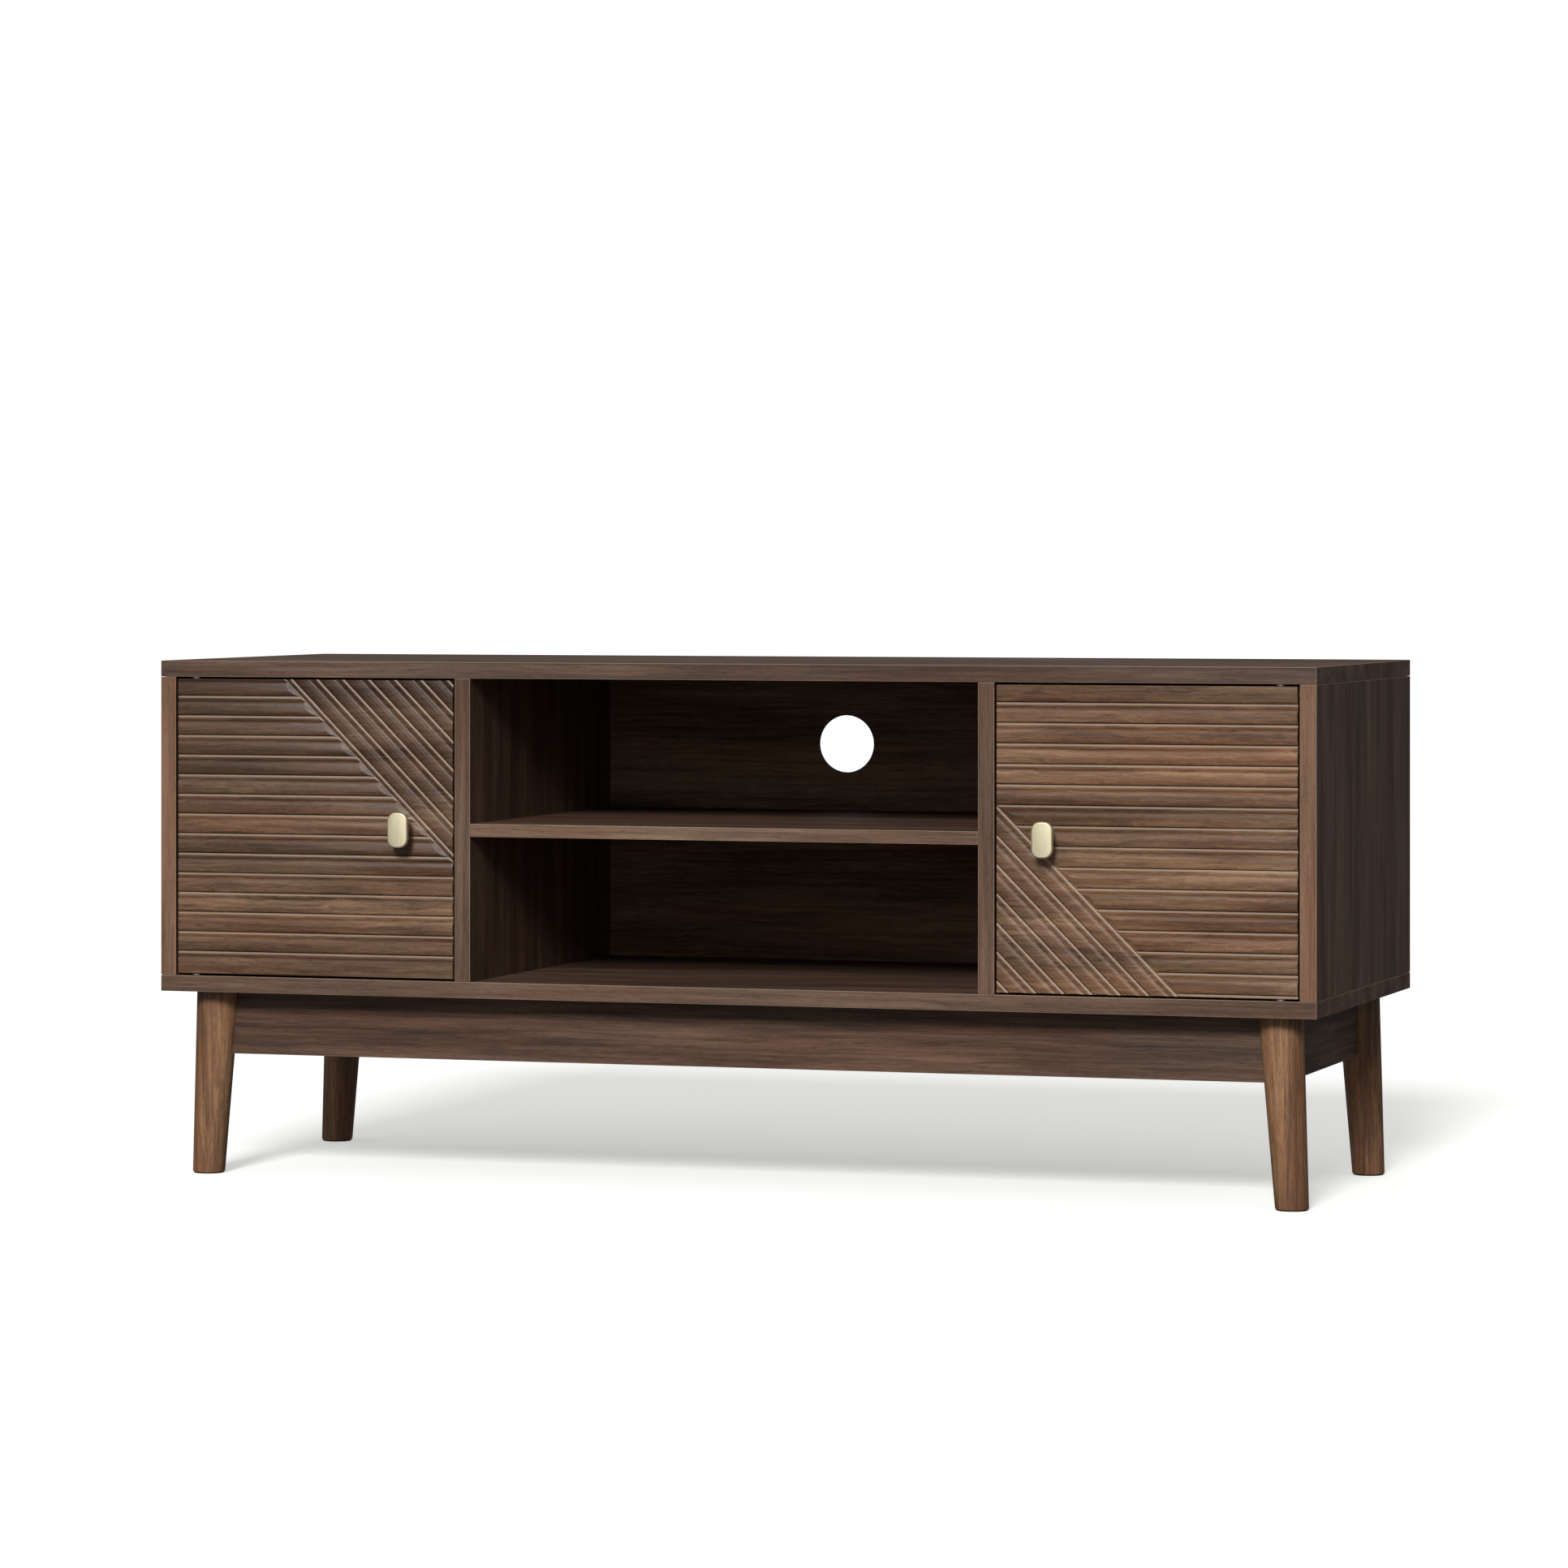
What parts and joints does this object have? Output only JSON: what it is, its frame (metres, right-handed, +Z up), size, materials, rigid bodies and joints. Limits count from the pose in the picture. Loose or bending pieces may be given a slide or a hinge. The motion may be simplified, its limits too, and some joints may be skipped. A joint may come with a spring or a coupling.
{
  "type": "tv stand",
  "caption": "Low walnut-look TV stand on splayed round legs: slatted hinged doors with brass knobs either side of an open middle with a shelf and a cable hole.",
  "frame": {"origin": "on the floor, under the centre of the stand's overall box, knobs included", "axes": "+Z up; +X along the stand to the viewer's right; the doors face -Y"},
  "size_m": [1.1, 0.415, 0.48],
  "materials": {
    "board": "satin walnut-look laminate, level or upright grain",
    "door_front": "satin walnut-look wrap over routed board",
    "leg_wood": "satin stained solid wood",
    "back_panel": "printed walnut-look sheet",
    "knob": "pale satin brass",
    "zinc_steel": "bright zinc plate",
    "magnet": "dark ferrite",
    "brown_plastic": "matt moulded",
    "nylon": "natural moulded nylon"
  },
  "bodies": {
    "case": {"top_panel": "board", "bottom_panel": "board", "left_side_panel": "board", "right_side_panel": "board", "left_divider": "board", "right_divider": "board", "centre_shelf": "board", "shelf_screw_left_front": "zinc_steel", "shelf_screw_left_rear": "zinc_steel", "shelf_screw_right_front": "zinc_steel", "shelf_screw_right_rear": "zinc_steel", "left_back_panel": "back_panel", "centre_back_panel": "back_panel", "right_back_panel": "back_panel", "front_left_leg": "leg_wood", "front_left_hanger_bolt": "zinc_steel", "front_left_insert_nut": "zinc_steel", "front_left_foot_glide": "brown_plastic", "front_right_leg": "leg_wood", "front_right_hanger_bolt": "zinc_steel", "front_right_insert_nut": "zinc_steel", "front_right_foot_glide": "brown_plastic", "rear_left_leg": "leg_wood", "rear_left_hanger_bolt": "zinc_steel", "rear_left_insert_nut": "zinc_steel", "rear_left_foot_glide": "brown_plastic", "rear_right_leg": "leg_wood", "rear_right_hanger_bolt": "zinc_steel", "rear_right_insert_nut": "zinc_steel", "rear_right_foot_glide": "brown_plastic", "front_apron": "board", "rear_apron": "board", "left_apron": "board", "right_apron": "board", "front_apron_bracket_left": "zinc_steel", "front_apron_bracket_right": "zinc_steel", "rear_apron_bracket_left": "zinc_steel", "rear_apron_bracket_right": "zinc_steel", "left_apron_bracket": "zinc_steel", "right_apron_bracket": "zinc_steel", "left_upper_pivot_pin": "zinc_steel", "left_lower_pivot_pin": "zinc_steel", "right_upper_pivot_pin": "zinc_steel", "right_lower_pivot_pin": "zinc_steel", "left_catch_housing": "brown_plastic", "left_catch_magnet": "magnet", "right_catch_housing": "brown_plastic", "right_catch_magnet": "magnet"},
    "left_door": {"left_door": "door_front", "left_knob": "knob", "left_knob_screw": "zinc_steel", "left_strike_plate": "zinc_steel", "left_upper_pivot_bush": "nylon", "left_lower_pivot_bush": "nylon"},
    "right_door": {"right_door": "door_front", "right_knob": "knob", "right_knob_screw": "zinc_steel", "right_strike_plate": "zinc_steel", "right_upper_pivot_bush": "nylon", "right_lower_pivot_bush": "nylon"}
  },
  "joints": [
    {"name": "left_door_hinge", "type": "hinge", "parent": "case", "child": "left_door", "pos_m": [-0.5165, -0.18, 0.326], "axis": [0, 0, -1], "range_deg": [0, 130]},
    {"name": "right_door_hinge", "type": "hinge", "parent": "case", "child": "right_door", "pos_m": [0.5165, -0.18, 0.326], "axis": [0, 0, 1], "range_deg": [0, 130]}
  ]
}
